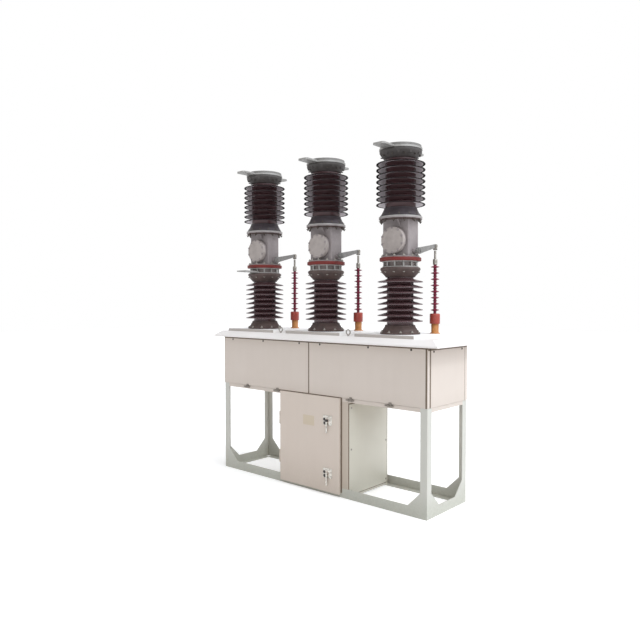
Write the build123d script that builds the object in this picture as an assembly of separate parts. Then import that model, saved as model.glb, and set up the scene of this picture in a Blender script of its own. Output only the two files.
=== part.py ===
from build123d import *
import math
import os

# Three-pole outdoor vacuum circuit breaker on a steel stand.
# All sizes are in millimetres. X runs along the stand (+X is the crank side), Y from the
# front (cabinet door side, -Y) to the back, Z up. The origin lies on the ground at the
# centre of the four anchor holes.

os.makedirs("parts", exist_ok=True)

# Stand
frame_length = 2280.0
frame_depth = 580.0
frame_height = 1270.0
leg_width = 60.0
leg_steel = 6.0
rail_height = 78.0
gusset_size = 110.0
anchor_edge = 35.0
anchor_spacing = 300.0
anchor_hole_radius = 9.0

# Mechanism box
sheet = 3.0
box_floor_level = 790.0
rim_height = 30.0
seam_gap = 2.0
middle_seam = 6.0
eave_gap = 8.0
middle_seam_offset = -34.0
corner_return = 38.0
eave_overhang_ends = 110.0
eave_overhang_sides = 50.0
eave_lip = 12.0
roof_rise = 43.0
deck_overhang_ends = 45.0
deck_steel = 4.0
head_beam_width = 50.0
head_beam_inset = 10.0
pad_length = 620.0
pad_steel = 25.0
eye_ring_radius = 20.0
eye_bar_radius = 5.0
eye_shank = 13.0
eye_inset = 18.0
latch_width = 46.0
latch_height = 34.0
latch_depth = 9.0
latch_reach = 12.0
outer_latch_inset = 328.0
inner_latch_clearance = 30.0

# Control cabinet
cabinet_left = -383.0
cabinet_width = 779.0
cabinet_back_gap = 30.0
door_left_margin = 23.0
door_right_margin = 74.0
door_bottom_level = 25.0
door_top_gap = 4.0
door_thickness = 16.0
door_gap = 5.0
doorway_border = 40.0
hinge_radius = 8.0
hinge_pin_radius = 4.0
hinge_pin_play = 0.3
hinge_length = 112.0
hinge_levels = (235.0, 576.0)
hinge_side_gap = 2.0
lock_levels = (180.0, 620.0)
lock_from_door_edge = 128.0
lock_rose_radius = 21.0
lock_rose_depth = 5.0
handle_stem_radius = 7.0
handle_stem_length = 12.0
handle_length = 62.0
handle_width = 14.0
handle_thickness = 6.0

# Poles
pole_spacing = 775.0
pole_row_shift = -5.0
pole_setback = 188.5
base_flange_radius = 157.0
base_flange_height = 71.0
base_flange_edge = 14.0
insulator_root_radius = 110.0
lower_core_radius = 104.0
lower_shed_radius = 178.0
lower_insulator_height = 375.0
lower_first_shed = 31.0
lower_shed_pitch = 43.9
upper_core_radius = 119.0
upper_shed_radius = 192.0
upper_insulator_height = 379.0
upper_first_shed = 27.0
upper_shed_pitch = 44.9
shed_count = 8
column_flare = 5.0
shed_droop = 20.0
shed_tip = 8.0
shed_tip_round = 2.5
shed_root = 17.0
middle_flange_radius = 157.0
middle_flange_height = 75.0
neck_radius = 141.0
neck_height = 49.0
neck_plate = 8.0
neck_core_radius = 118.0
low_tongue_reach = 300.0
low_tongue = 12.0
stud_hole_play = 0.3
stud_radius = 7.0
stud_count = 12
red_ring_radius = 163.0
red_ring_height = 28.0
housing_foot_radius = 150.0
housing_foot = 9.0
housing_width = 242.0
housing_depth = 140.0
housing_corner = 10.0
housing_height = 289.0
housing_flange_radius = 169.0
housing_flange = 18.0
boss_radius = 100.0
boss_depth = 13.0
cover_radius = 103.5
cover_depth = 34.0
cover_level = 122.0
upper_cone_radius = 160.0
upper_cone_height = 69.0
top_cone_height = 44.0
top_flange_radius = 165.0
top_flange_height = 24.0
terminal_plate = 14.0
terminal_width = 104.0
terminal_front_reach = 305.0
terminal_back_reach = 262.0
terminal_chamfer = 14.0
terminal_hole_radius = 7.0
terminal_hole_spacing = 50.0
terminal_hole_inset = 27.0
top_disc_radius = 160.0
top_disc = 20.0

# Crank, pull rod and guide tube
crank_side_offset = 175.0
crank_reach = 230.0
crank_rise = 50.0
crank_level = 39.0
shaft_radius = 15.0
shaft_play = 0.3
shaft_boss_radius = 30.0
shaft_boss_length = 24.0
hub_radius = 25.0
hub_width = 20.0
lever_tip_radius = 14.0
lever_thickness = 12.0
pin_radius = 7.0
pin_play = 0.3
fork_gap = 1.0
fork_cheek = 6.0
fork_radius = 15.0
fork_crown_gap = 8.0
fork_crown = 10.0
stem_radius = 9.0
ferrule_radius = 18.0
ferrule_height = 48.0
ferrule_drop = 100.0
rod_core_radius = 12.0
rod_shed_radius = 34.0
rod_small_shed_radius = 19.0
rod_shed_count = 8
rod_first_shed = 18.0
rod_last_shed = 27.7
rod_shed_tip = 3.5
rod_shed_root = 16.0
hood_radius = 40.5
hood_wall = 3.5
hood_height = 81.0
hood_top = 8.0
hood_dip = 3.0
tube_radius = 30.0
tube_wall = 6.0
tube_height = 82.0
tube_collar_radius = 41.0
tube_collar = 8.0
end_stud_radius = 9.0
end_stud_length = 84.0
tube_side_shift = 2.65

# Levels and lines that follow from the sizes above
half_length = frame_length / 2
half_depth = frame_depth / 2
cover_bottom = box_floor_level + rim_height + seam_gap
cover_top = frame_height - eave_gap
deck_level = frame_height + eave_lip + roof_rise
pad_level = deck_level + pad_steel
pole_y = pole_setback - half_depth
pole_x = tuple(pole_row_shift + i * pole_spacing for i in (-1, 0, 1))
pole_names = ("a", "b", "c")
lower_insulator_level = pad_level + base_flange_height
middle_flange_level = lower_insulator_level + lower_insulator_height
neck_level = middle_flange_level + middle_flange_height
red_ring_level = neck_level + neck_height
housing_level = red_ring_level + red_ring_height
housing_flange_level = housing_level + housing_foot + housing_height
upper_cone_level = housing_flange_level + housing_flange
upper_insulator_level = upper_cone_level + upper_cone_height
top_flange_level = upper_insulator_level + upper_insulator_height
terminal_level = top_flange_level + top_cone_height + top_flange_height
shaft_level = housing_level + housing_foot + crank_level
pin_y = pole_y + crank_reach
pin_level = shaft_level + crank_rise
ferrule_level = pin_level - ferrule_drop - ferrule_height
hood_level = pad_level + tube_height - hood_dip
rod_level = hood_level + hood_height
rod_length = ferrule_level - rod_level
rod_shed_pitch = (rod_length - rod_first_shed - rod_last_shed) / (rod_shed_count - 1)
cabinet_right = cabinet_left + cabinet_width
latch_positions = (outer_latch_inset - half_length, cabinet_left - inner_latch_clearance,
                   cabinet_right + inner_latch_clearance, half_length - outer_latch_inset)
door_face = -half_depth - door_gap - door_thickness


def block(x0, x1, y0, y1, z0, z1):
    """A box between two corners."""
    return Pos((x0 + x1) / 2, (y0 + y1) / 2, (z0 + z1) / 2) * Box(x1 - x0, y1 - y0, z1 - z0)


def turned(profile, x=0.0, y=0.0, z=0.0):
    """A solid of revolution about a vertical axis from (radius, height) points."""
    outline = make_face(Plane.XZ * Polyline(*profile, close=True))
    return Pos(x, y, z) * revolve(outline, Axis.Z)


def rod_along(axis, radius, start, end, centre):
    """A round bar along X, Y or Z, between two values on that axis."""
    turn = {"X": Rot(0, 90, 0), "Y": Rot(90, 0, 0), "Z": Rot(0, 0, 0)}[axis]
    middle = (start + end) / 2
    place = {"X": (middle, centre[0], centre[1]),
             "Y": (centre[0], middle, centre[1]),
             "Z": (centre[0], centre[1], middle)}[axis]
    return Pos(*place) * turn * Cylinder(radius, abs(end - start))


def save(shape, node):
    """Write one node to its own file."""
    export_step(shape, f"parts/{node}.step")


def corner_leg(side, front):
    """One corner angle of the stand, standing on the ground."""
    outer = Pos(side * half_length, front * half_depth, frame_height / 2)
    flange_x = Pos(-side * leg_width / 2, -front * leg_steel / 2, 0) * Box(leg_width, leg_steel, frame_height)
    flange_y = Pos(-side * leg_steel / 2, -front * leg_width / 2, 0) * Box(leg_steel, leg_width, frame_height)
    return outer * (flange_x + flange_y)


def long_rail(front):
    """Front or back base rail: an angle with its foot turned inwards."""
    reach = half_length - leg_width
    outer = front * half_depth
    web = block(-reach, reach, *sorted((outer, outer - front * leg_steel)), 0, rail_height)
    foot = block(-reach, reach, *sorted((outer, outer - front * leg_width)), 0, leg_steel)
    return web + foot


def end_rail(side):
    """Left or right base rail between the legs."""
    reach = half_depth - leg_width
    outer = side * half_length
    web = block(*sorted((outer, outer - side * leg_steel)), -reach, reach, 0, rail_height)
    foot = block(*sorted((outer, outer - side * leg_width)), -reach, reach, 0, leg_steel)
    rail = web + foot
    for y in (-anchor_spacing / 2, anchor_spacing / 2):
        rail -= rod_along("Z", anchor_hole_radius, -1, leg_steel + 1, (outer - side * anchor_edge, y))
    return rail


def corner_gussets():
    """Two triangular plates at the foot of every leg."""
    plates = []
    for side in (-1, 1):
        for front in (-1, 1):
            x = side * (half_length - leg_width)
            y = front * half_depth
            along = Plane.XZ * Polyline((x, rail_height), (x - side * gusset_size, rail_height),
                                        (x, rail_height + gusset_size), close=True)
            flat = extrude(make_face(along), leg_steel, both=False)
            box = flat.bounding_box()
            plates.append(Pos(0, (y - front * leg_steel / 2) - (box.min.Y + box.max.Y) / 2, 0) * flat)
            x = side * half_length
            y = front * (half_depth - leg_width)
            across = Plane.YZ * Polyline((y, rail_height), (y - front * gusset_size, rail_height),
                                         (y, rail_height + gusset_size), close=True)
            flat = extrude(make_face(across), leg_steel)
            box = flat.bounding_box()
            plates.append(Pos((x - side * leg_steel / 2) - (box.min.X + box.max.X) / 2, 0, 0) * flat)
    return Compound(children=plates)


def floor_pan():
    """Folded floor of the box with an upturned rim, notched round the legs."""
    top = box_floor_level + rim_height
    pan = block(-half_length, half_length, -half_depth, half_depth, box_floor_level, top)
    pan -= block(-half_length + sheet, half_length - sheet, -half_depth + sheet, half_depth - sheet,
                 box_floor_level + sheet, top + 1)
    for side in (-1, 1):
        for front in (-1, 1):
            pan -= Pos(side * (half_length - leg_width / 2), front * (half_depth - leg_width / 2),
                       box_floor_level + rim_height / 2) * Box(leg_width, leg_width, rim_height + 2)
    return pan


def long_cover(front, side):
    """One front or back cover: a flat sheet with a folded return round the corner."""
    seam = middle_seam_offset + side * middle_seam / 2
    face = front * half_depth
    end = side * (half_length + sheet)
    panel = block(*sorted((seam, end)), *sorted((face, face + front * sheet)), cover_bottom, cover_top)
    fold = block(*sorted((end, end - side * sheet)),
                 *sorted((face + front * sheet, face - front * (corner_return - sheet))), cover_bottom, cover_top)
    return panel + fold


def end_cover(side):
    """One end cover between the corner returns."""
    reach = half_depth - corner_return + sheet - seam_gap
    return block(*sorted((side * half_length, side * (half_length + sheet))), -reach, reach,
                 cover_bottom, cover_top)


def head_beam(front):
    """A beam on the leg tops under the deck."""
    outer = front * (half_depth - head_beam_inset)
    return block(-half_length, half_length, *sorted((outer, outer - front * head_beam_width)),
                 frame_height, deck_level - deck_steel)


def hipped_shell(inset):
    """The outline of the hipped roof, drawn in by a wall thickness."""
    eave_x = frame_length + 2 * (eave_overhang_ends - inset)
    eave_y = frame_depth + 2 * (eave_overhang_sides - inset)
    deck_x = frame_length + 2 * (deck_overhang_ends - inset)
    deck_y = frame_depth - 2 * inset
    lip = Pos(0, 0, frame_height + eave_lip / 2) * Box(eave_x, eave_y, eave_lip)
    low = Pos(0, 0, frame_height + eave_lip) * Rectangle(eave_x, eave_y)
    high = Pos(0, 0, deck_level - inset) * Rectangle(deck_x, deck_y)
    return lip + loft([low.face(), high.face()])


def top_cover():
    """Sheet roof of the box: a flat deck, four sloping edges and a drip lip."""
    return hipped_shell(0) - hipped_shell(deck_steel)


def mounting_pads():
    """A thick plate on the deck under each pole and its guide tube."""
    pads = [block(x - pad_length / 2, x + pad_length / 2, -half_depth, half_depth, deck_level, pad_level)
            for x in pole_x]
    return Compound(children=pads)


def lifting_eyes(front):
    """Two lifting eyes on the deck, in the gaps between the plates."""
    eyes = []
    for x in ((pole_x[0] + pole_x[1]) / 2, (pole_x[1] + pole_x[2]) / 2):
        y = front * (half_depth - eye_inset)
        shank = Pos(x, y, deck_level + eye_shank / 2) * Cylinder(eye_bar_radius * 1.5, eye_shank)
        ring_level = deck_level + eye_shank + eye_ring_radius - 1
        ring = Pos(x, y, ring_level) * Rot(90, 0, 0) * Torus(eye_ring_radius, eye_bar_radius)
        eyes.append(shank + ring)
    return Compound(children=eyes)


def cover_latches():
    """Toggle latches that hold the covers down on the floor rim."""
    latches = []
    for x in latch_positions:
        for front in (-1, 1):
            face = front * half_depth
            low = cover_bottom + latch_reach - latch_height
            plate = block(x - latch_width / 2, x + latch_width / 2,
                          *sorted((face, face + front * latch_depth)), low, cover_bottom - seam_gap)
            hook = block(x - latch_width / 4, x + latch_width / 4,
                         *sorted((face + front * sheet, face + front * latch_depth)),
                         cover_bottom - seam_gap - 1, cover_bottom + latch_reach)
            latches.append(plate + hook)
    return Compound(children=latches)


def shed_profile(core, tip, count, first, pitch, height, root, flare):
    """The turned outline of a porcelain column with drooping sheds, from its foot up."""
    points = [(0, 0), (root, 0), (core, flare)]
    for i in range(count):
        z = first + i * pitch
        points += [(core, z + shed_droop - shed_root / 2), (tip - shed_tip_round, z - shed_tip / 2),
                   (tip, z - shed_tip / 2 + shed_tip_round), (tip, z + shed_tip / 2 - shed_tip_round),
                   (tip - shed_tip_round, z + shed_tip / 2), (core, z + shed_droop + shed_root / 2)]
    return points + [(core, height - flare), (root, height), (0, height)]


def lower_insulator(x):
    """Porcelain column between the base flange and the middle flange."""
    outline = shed_profile(lower_core_radius, lower_shed_radius, shed_count, lower_first_shed, lower_shed_pitch,
                           lower_insulator_height, insulator_root_radius, column_flare)
    return turned(outline, x, pole_y, lower_insulator_level)


def upper_insulator(x):
    """Wider porcelain column round the vacuum interrupter."""
    outline = shed_profile(upper_core_radius, upper_shed_radius, shed_count, upper_first_shed, upper_shed_pitch,
                           upper_insulator_height, upper_core_radius + column_flare, column_flare)
    return turned(outline, x, pole_y, upper_insulator_level)


def base_flange(x):
    """Flared cast foot of a pole."""
    r = base_flange_radius
    outline = [(0, 0), (r, 0), (r, base_flange_edge), (r - 8, base_flange_edge + 4),
               (insulator_root_radius + 8, base_flange_height - 10), (insulator_root_radius + 8, base_flange_height),
               (0, base_flange_height)]
    return turned(outline, x, pole_y, pad_level)


def middle_flange(x):
    """Flared cast head of the lower column."""
    r = middle_flange_radius
    h = middle_flange_height
    outline = [(0, 0), (insulator_root_radius + 6, 0), (r - 18, h * 0.38), (r, h * 0.76), (r, h - 7), (r - 7, h),
               (0, h)]
    return turned(outline, x, pole_y, middle_flange_level)


def stud_places():
    """Places of the neck's studs round the pole axis."""
    turns = [math.radians(360 / stud_count * (i + 0.5)) for i in range(stud_count)]
    radius = (neck_core_radius + neck_radius) / 2
    return [(radius * math.cos(turn), radius * math.sin(turn)) for turn in turns]


def low_terminal(x):
    """Lower connection tongue of the first pole: a flat bar on the neck's lower plate, held by two studs."""
    root = neck_core_radius + 2 * stud_hole_play
    plate = block(-terminal_width / 2, terminal_width / 2, -low_tongue_reach, -root, 0, low_tongue)
    plate -= Pos(0, 0, low_tongue / 2) * Cylinder(root, low_tongue + 2)
    for side in (-terminal_hole_spacing / 2, terminal_hole_spacing / 2):
        for back in (terminal_hole_inset, terminal_hole_inset + terminal_hole_spacing):
            plate -= rod_along("Z", terminal_hole_radius, -1, low_tongue + 1, (side, back - low_tongue_reach))
    for place in stud_places():
        plate -= rod_along("Z", stud_radius + stud_hole_play, -1, low_tongue + 1, place)
    return Pos(x, pole_y, neck_level + neck_plate) * plate


def pole_neck(x):
    """Open neck: two plates held apart by studs round a smaller drum."""
    neck = turned([(0, 0), (neck_radius, 0), (neck_radius, neck_plate), (neck_core_radius, neck_plate),
                   (neck_core_radius, neck_height - neck_plate), (neck_radius, neck_height - neck_plate),
                   (neck_radius, neck_height), (0, neck_height)])
    for place in stud_places():
        neck += Pos(*place, neck_height / 2) * Cylinder(stud_radius, neck_height - neck_plate)
    return Pos(x, pole_y, neck_level) * neck


def red_ring(x):
    """Moulded insulating ring under the crank housing."""
    r = red_ring_radius
    h = red_ring_height
    outline = [(0, 0), (r - 5, 0), (r, 5), (r, h - 5), (r - 5, h), (0, h)]
    return turned(outline, x, pole_y, red_ring_level)


def housing(x):
    """Cast crank housing: a rounded box with a round foot, a top flange and bosses."""
    foot = Pos(0, 0, housing_foot / 2) * Cylinder(housing_foot_radius, housing_foot)
    plan = RectangleRounded(housing_width, housing_depth, housing_corner)
    body = Pos(0, 0, housing_foot) * extrude(plan, housing_height)
    flange = Pos(0, 0, housing_foot + housing_height + housing_flange / 2) * Cylinder(
        housing_flange_radius, housing_flange)
    boss = rod_along("Y", boss_radius, -housing_depth / 2 - boss_depth, 0, (0, housing_foot + cover_level))
    side = housing_width / 2
    level = housing_foot + crank_level
    shaft_boss = rod_along("X", shaft_boss_radius - 8, side - 20, side + shaft_boss_length, (0, level))
    bore = rod_along("X", shaft_radius + shaft_play, side - 10, side + shaft_boss_length + 1, (0, level))
    return Pos(x, pole_y, housing_level) * (foot + body + flange + boss + shaft_boss - bore)


def housing_cover(x):
    """Round inspection cover on the front boss."""
    front = pole_y - housing_depth / 2 - boss_depth
    level = housing_level + housing_foot + cover_level
    return rod_along("Y", cover_radius, front - cover_depth, front, (x, level))


def upper_cone(x):
    """Flared foot of the upper column."""
    r = upper_cone_radius
    h = upper_cone_height
    outline = [(0, 0), (r, 0), (r, 8), (upper_core_radius + 10, h - 6), (upper_core_radius + 10, h), (0, h)]
    return turned(outline, x, pole_y, upper_cone_level)


def top_flange(x):
    """Flared cast head of the upper column."""
    r = top_flange_radius
    cone = top_cone_height
    h = top_cone_height + top_flange_height
    outline = [(0, 0), (upper_core_radius + 10, 0), (r - 4, cone), (r, cone + 6), (r, h), (0, h)]
    return turned(outline, x, pole_y, top_flange_level)


def terminal_plate_piece(x):
    """Top disc with a flat connection tongue to the front and to the back."""
    disc = Pos(0, 0, terminal_plate / 2) * Cylinder(top_flange_radius + 3, terminal_plate)
    cap = Pos(0, 0, terminal_plate + top_disc / 2) * Cylinder(top_disc_radius, top_disc)
    length = terminal_front_reach + terminal_back_reach
    outline = Pos(0, (terminal_back_reach - terminal_front_reach) / 2) * Rectangle(terminal_width, length)
    outline = chamfer(outline.vertices(), terminal_chamfer)
    piece = disc + cap + extrude(outline, terminal_plate)
    for reach in (-terminal_front_reach + terminal_hole_inset, terminal_back_reach - terminal_hole_inset):
        inward = terminal_hole_spacing if reach < 0 else -terminal_hole_spacing
        for side in (-terminal_hole_spacing / 2, terminal_hole_spacing / 2):
            for y in (reach, reach + inward):
                piece -= Pos(side, y, terminal_plate / 2) * Cylinder(terminal_hole_radius, terminal_plate + 2)
    return Pos(x, pole_y, terminal_level) * piece


def crank(x):
    """Crank on the housing's side: shaft, hub and a tapered lever that points back and up."""
    centre = x + crank_side_offset
    shaft_start = x + housing_width / 2 - 6
    shaft = rod_along("X", shaft_radius, shaft_start, centre + hub_width / 2, (pole_y, shaft_level))
    hub = rod_along("X", hub_radius, centre - hub_width / 2, centre + hub_width / 2, (pole_y, shaft_level))
    tip = rod_along("X", lever_tip_radius, centre - lever_thickness / 2, centre + lever_thickness / 2,
                    (pin_y, pin_level))
    length = math.hypot(crank_reach, crank_rise)
    along = ((pin_y - pole_y) / length, (pin_level - shaft_level) / length)
    normal = (-along[1], along[0])
    corners = []
    for start, radius, sign in (((pole_y, shaft_level), hub_radius, 1), ((pole_y, shaft_level), hub_radius, -1),
                                ((pin_y, pin_level), lever_tip_radius, -1), ((pin_y, pin_level), lever_tip_radius, 1)):
        corners.append((start[0] + sign * normal[0] * radius * 0.96, start[1] + sign * normal[1] * radius * 0.96))
    web = extrude(make_face(Plane.YZ * Polyline(*corners, close=True)), lever_thickness / 2, both=True)
    web = Pos(centre, 0, 0) * web
    eye = rod_along("X", pin_radius + pin_play, centre - hub_width, centre + hub_width, (pin_y, pin_level))
    return shaft + hub + tip + web - eye


def pull_rod(x):
    """Insulated pull rod: fork and pin on the lever, steel stem, ferrule and shedded rod."""
    centre = x + crank_side_offset
    inner = lever_thickness / 2 + fork_gap
    outer = inner + fork_cheek
    rod = rod_along("X", pin_radius, centre - outer - 3, centre + outer + 3, (pin_y, pin_level))
    crown_top = pin_level - lever_tip_radius - fork_crown_gap
    for side in (-1, 1):
        cheek = rod_along("X", fork_radius, centre + side * inner, centre + side * outer, (pin_y, pin_level))
        strap = block(*sorted((centre + side * inner, centre + side * outer)), pin_y - fork_radius * 0.8,
                      pin_y + fork_radius * 0.8, crown_top - fork_crown, pin_level)
        rod += cheek + strap
    rod += block(centre - outer, centre + outer, pin_y - fork_radius * 0.8, pin_y + fork_radius * 0.8,
                 crown_top - fork_crown, crown_top)
    outline = [(0, rod_length + ferrule_height), (ferrule_radius, rod_length + ferrule_height),
               (ferrule_radius, rod_length), (rod_core_radius, rod_length)]
    for i in range(rod_shed_count):
        z = rod_length - rod_first_shed - i * rod_shed_pitch
        outline += [(rod_core_radius, z + rod_shed_root / 2), (rod_shed_radius, z + rod_shed_tip / 2),
                    (rod_shed_radius, z - rod_shed_tip / 2), (rod_core_radius, z - rod_shed_root / 2)]
        if i < rod_shed_count - 1:
            z -= rod_shed_pitch / 2
            outline += [(rod_core_radius, z + rod_shed_tip), (rod_small_shed_radius, z + rod_shed_tip / 2),
                        (rod_small_shed_radius, z - rod_shed_tip / 2), (rod_core_radius, z - rod_shed_tip)]
    outline += [(rod_core_radius, 0), (0, 0)]
    shank = turned(outline, centre, pin_y, rod_level)
    stem_bottom = ferrule_level + ferrule_height
    stem = rod_along("Z", stem_radius, stem_bottom, crown_top - 5, (centre, pin_y))
    return rod + shank + stem


def rod_hood(x):
    """Rain hood fixed on the rod's foot, with the steel end stud inside."""
    inner = hood_radius - hood_wall
    outline = [(0, hood_height), (hood_radius - 4, hood_height), (hood_radius, hood_height - 4), (hood_radius, 0),
               (inner, 0), (inner, hood_height - hood_top), (end_stud_radius, hood_height - hood_top),
               (end_stud_radius, hood_height - hood_top - end_stud_length),
               (0, hood_height - hood_top - end_stud_length)]
    return turned(outline, x + crank_side_offset, pin_y, hood_level)


def guide_tube(x):
    """Fixed tube on the mounting plate that the rod's end stud runs in."""
    bore = tube_radius - tube_wall
    outline = [(bore, 0), (tube_collar_radius, 0), (tube_collar_radius, tube_collar), (tube_radius, tube_collar),
               (tube_radius, tube_height), (bore, tube_height)]
    return turned(outline, x + crank_side_offset, pin_y + tube_side_shift, pad_level)


def at_each_pole(make):
    """One node that holds the same piece at every pole."""
    return Compound(children=[make(x) for x in pole_x])


def cabinet_walls():
    """Sheet walls of the control cabinet, from the base rails to the box floor."""
    left = cabinet_left
    right = cabinet_left + cabinet_width
    front = -half_depth + leg_steel
    back = half_depth - cabinet_back_gap
    low = leg_steel
    high = box_floor_level
    save(block(left, left + sheet, front, back, low, high), "cabinet_left_wall")
    save(block(right - sheet, right, front, back, low, high), "cabinet_right_wall")
    save(block(left + sheet, right - sheet, back - sheet, back, low, high), "cabinet_back_wall")
    save(block(left + sheet, right - sheet, front, back - sheet, low, low + sheet), "cabinet_floor")
    save(block(left + sheet, right - sheet, front, back - sheet, high - sheet, high), "cabinet_roof")


def hinge_axis():
    """Place of the door's hinge line, seen from above."""
    x = cabinet_left + door_left_margin - hinge_radius - hinge_side_gap
    y = -half_depth - door_gap - door_thickness / 2
    return x, y


def cabinet_front_frame():
    """Front frame of the cabinet round the doorway, with the fixed hinge knuckles and pins."""
    left = cabinet_left
    right = cabinet_left + cabinet_width
    back = -half_depth + leg_steel
    frame = block(left, right, -half_depth, back, rail_height, box_floor_level)
    frame -= block(left + door_left_margin + doorway_border, right - door_right_margin - doorway_border,
                   -half_depth - 1, back + 1, rail_height + doorway_border, box_floor_level - doorway_border)
    x, y = hinge_axis()
    third = hinge_length / 3
    for level in hinge_levels:
        frame += rod_along("Z", hinge_pin_radius, level - hinge_length / 2, level + hinge_length / 2, (x, y))
        for side in (-1, 1):
            start = level + side * third / 2
            end = level + side * hinge_length / 2
            low, high = sorted((start, end))
            frame += rod_along("Z", hinge_radius, low, high, (x, y))
            frame += block(x - hinge_radius, x, y, -half_depth, low, high)
    return frame


def cabinet_door():
    """Folded pan door with its hinge knuckles and the two lock roses."""
    left = cabinet_left + door_left_margin
    right = cabinet_left + cabinet_width - door_right_margin
    back = -half_depth - door_gap
    top = box_floor_level + rim_height - door_top_gap
    door = block(left, right, door_face, back, door_bottom_level, top)
    door -= block(left + sheet, right - sheet, door_face + sheet, back + 1, door_bottom_level + sheet, top - sheet)
    x, y = hinge_axis()
    third = hinge_length / 3 - 2
    for level in hinge_levels:
        knuckle = rod_along("Z", hinge_radius, level - third / 2, level + third / 2, (x, y))
        leaf = block(x, left + sheet, y - sheet / 2, y + sheet / 2, level - third / 2, level + third / 2)
        door += knuckle + leaf
        door -= rod_along("Z", hinge_pin_radius + hinge_pin_play, level - third, level + third, (x, y))
    for level in lock_levels:
        place = (right - lock_from_door_edge, level)
        door += rod_along("Y", lock_rose_radius, door_face - lock_rose_depth, door_face, place)
    return door


def lock_handle(level):
    """Quarter-turn wing handle of a door lock, hanging down at rest."""
    x = cabinet_left + cabinet_width - door_right_margin - lock_from_door_edge
    face = door_face - lock_rose_depth
    stem = rod_along("Y", handle_stem_radius, face - handle_stem_length, face, (x, level))
    back = face - handle_stem_length
    wing = block(x - handle_width / 2, x + handle_width / 2, back, back + handle_thickness,
                 level - handle_length + handle_width / 2, level + handle_width / 2)
    return stem + fillet(wing.edges().filter_by(Axis.Y), handle_width * 0.45)


for side_name, side in (("left", -1), ("right", 1)):
    for face_name, front in (("front", -1), ("rear", 1)):
        save(corner_leg(side, front), f"leg_{face_name}_{side_name}")
        save(long_cover(front, side), f"{face_name}_cover_{side_name}")
    save(end_rail(side), f"base_rail_{side_name}")
    save(end_cover(side), f"end_cover_{side_name}")
for face_name, front in (("front", -1), ("rear", 1)):
    save(long_rail(front), f"base_rail_{face_name}")
    save(head_beam(front), f"head_beam_{face_name}")
    save(lifting_eyes(front), f"lifting_eyes_{face_name}")
save(corner_gussets(), "corner_gussets")
save(floor_pan(), "box_floor_pan")
save(top_cover(), "top_cover")
save(mounting_pads(), "mounting_pads")
save(cover_latches(), "cover_latches")

cabinet_walls()
save(cabinet_front_frame(), "cabinet_front_frame")
save(cabinet_door(), "cabinet_door")
for level_name, level in zip(("lower", "upper"), lock_levels):
    save(lock_handle(level), f"lock_handle_{level_name}")

save(at_each_pole(base_flange), "pole_base_flanges")
save(at_each_pole(middle_flange), "pole_middle_flanges")
save(at_each_pole(pole_neck), "pole_necks")
save(at_each_pole(red_ring), "red_rings")
save(at_each_pole(housing_cover), "housing_covers")
save(at_each_pole(upper_cone), "upper_cones")
save(at_each_pole(top_flange), "top_flanges")
save(at_each_pole(terminal_plate_piece), "terminal_plates")
save(at_each_pole(guide_tube), "guide_tubes")
save(low_terminal(pole_x[0]), "lower_terminal_a")
for name, x in zip(pole_names, pole_x):
    save(lower_insulator(x), f"lower_insulator_{name}")
    save(upper_insulator(x), f"upper_insulator_{name}")
    save(housing(x), f"crank_housing_{name}")
    save(crank(x), f"crank_{name}")
    save(pull_rod(x), f"pull_rod_{name}")
    save(rod_hood(x), f"rod_hood_{name}")
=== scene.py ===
import math

import bpy
from mathutils import Matrix, Vector


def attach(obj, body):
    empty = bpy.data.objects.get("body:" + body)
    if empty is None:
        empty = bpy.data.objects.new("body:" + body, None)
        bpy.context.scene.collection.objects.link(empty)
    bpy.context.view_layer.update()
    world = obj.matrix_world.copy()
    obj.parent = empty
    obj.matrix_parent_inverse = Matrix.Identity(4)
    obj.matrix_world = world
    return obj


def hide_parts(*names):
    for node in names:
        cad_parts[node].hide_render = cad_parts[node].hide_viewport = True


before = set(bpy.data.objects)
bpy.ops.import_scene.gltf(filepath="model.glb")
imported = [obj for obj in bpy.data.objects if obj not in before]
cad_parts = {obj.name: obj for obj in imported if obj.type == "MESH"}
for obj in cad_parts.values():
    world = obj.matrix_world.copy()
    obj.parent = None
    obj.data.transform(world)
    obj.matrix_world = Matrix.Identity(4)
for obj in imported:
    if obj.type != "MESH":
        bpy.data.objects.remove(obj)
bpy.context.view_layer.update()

# Centre lines of the poles, and of the crank shaft and pull rod beside each, in metres as in the CAD model
POLES = {"a": -0.780, "b": -0.005, "c": 0.770}
POLE_Y = -0.1015
SHAFT = 1.996
ROD_X = 0.175
PIN_Y = 0.1285
PIN = 2.046
ROD_FOOT = 1.510
SLEEVE = 0.388
HOOD_FOOT = 1.429
TUBE_Y = 0.13115

# Heights of a pole's parts, and their levels from the mounting plates up
PLATE_FOOT = 1.325
PLATE_TOP = 1.350
FOOT_HEIGHT = 0.071
LOWER_HEIGHT = 0.375
MIDDLE_HEIGHT = 0.075
NECK_HEIGHT = 0.049
RING_HEIGHT = 0.028
HOUSING_HEIGHT = 0.298
HOUSING_FLANGE_HEIGHT = 0.018
CONE_HEIGHT = 0.069
UPPER_HEIGHT = 0.379
TOP_HEIGHT = 0.068
LOWER_PORCELAIN = PLATE_TOP + FOOT_HEIGHT
MIDDLE_FLANGE = LOWER_PORCELAIN + LOWER_HEIGHT
NECK = MIDDLE_FLANGE + MIDDLE_HEIGHT
RED_RING = NECK + NECK_HEIGHT
HOUSING = RED_RING + RING_HEIGHT
HOUSING_FLANGE = HOUSING + HOUSING_HEIGHT
UPPER_CONE = HOUSING_FLANGE + HOUSING_FLANGE_HEIGHT
UPPER_PORCELAIN = UPPER_CONE + CONE_HEIGHT
TOP_FLANGE = UPPER_PORCELAIN + UPPER_HEIGHT
TOP_DISC = TOP_FLANGE + TOP_HEIGHT
RIM_START = 0.171
COVER_CENTRE = 2.079
COVER_BACK = -0.1845
COVER_DEPTH = 0.034

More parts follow.
